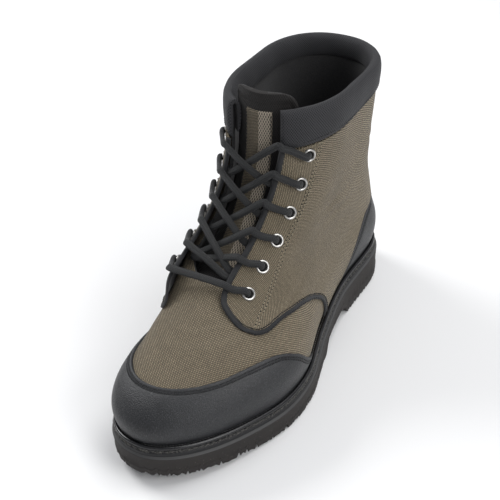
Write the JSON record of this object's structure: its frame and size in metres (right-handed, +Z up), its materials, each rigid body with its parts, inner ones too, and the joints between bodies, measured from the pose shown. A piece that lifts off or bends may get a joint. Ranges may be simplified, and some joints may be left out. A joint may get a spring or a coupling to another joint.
{
  "type": "wading boot",
  "caption": "Left lace-up wading boot with a rubber toe cap, bound quarters, padded tongue and collar, a welted midsole and a lugged rubber sole.",
  "frame": {"origin": "middle of the boot's footprint, on the ground", "axes": "+X towards the toe, +Y towards the lateral (outer) side, +Z up"},
  "size_m": [0.3176, 0.116, 0.2142],
  "materials": {
    "sole_rubber": "matte black rubber, slightly dusty",
    "welt_rubber": "matte black rubber with a shinier bead",
    "insole_fabric": "flat dark fabric over foam",
    "nylon": "coarse olive-brown woven nylon",
    "tongue_fabric": "padded black fabric with mesh",
    "cap_leather": "black pebble-grained synthetic leather, satin",
    "collar_fabric": "padded black fabric",
    "binding_tape": "ribbed black binding tape",
    "eyelet_metal": "rolled nickel-plated ring",
    "lace_cord": "black braided cord"
  },
  "bodies": {
    "root": {"outsole": "sole_rubber", "midsole_welt": "welt_rubber", "insole": "insole_fabric", "upper": "nylon", "tongue": "tongue_fabric", "toe_cap": "cap_leather", "heel_counter": "cap_leather", "collar_band": "collar_fabric", "quarter_lateral": "nylon", "quarter_medial": "nylon", "binding_lateral": "binding_tape", "binding_medial": "binding_tape", "eyelet_lateral_1": "eyelet_metal", "eyelet_lateral_2": "eyelet_metal", "eyelet_lateral_3": "eyelet_metal", "eyelet_lateral_4": "eyelet_metal", "eyelet_lateral_5": "eyelet_metal", "eyelet_lateral_6": "eyelet_metal", "eyelet_medial_1": "eyelet_metal", "eyelet_medial_2": "eyelet_metal", "eyelet_medial_3": "eyelet_metal", "eyelet_medial_4": "eyelet_metal", "eyelet_medial_5": "eyelet_metal", "eyelet_medial_6": "eyelet_metal", "lace_bar": "lace_cord", "lace_crossing_1": "lace_cord", "lace_crossing_2": "lace_cord", "lace_crossing_3": "lace_cord", "lace_crossing_4": "lace_cord", "lace_crossing_5": "lace_cord"}
  },
  "joints": []
}
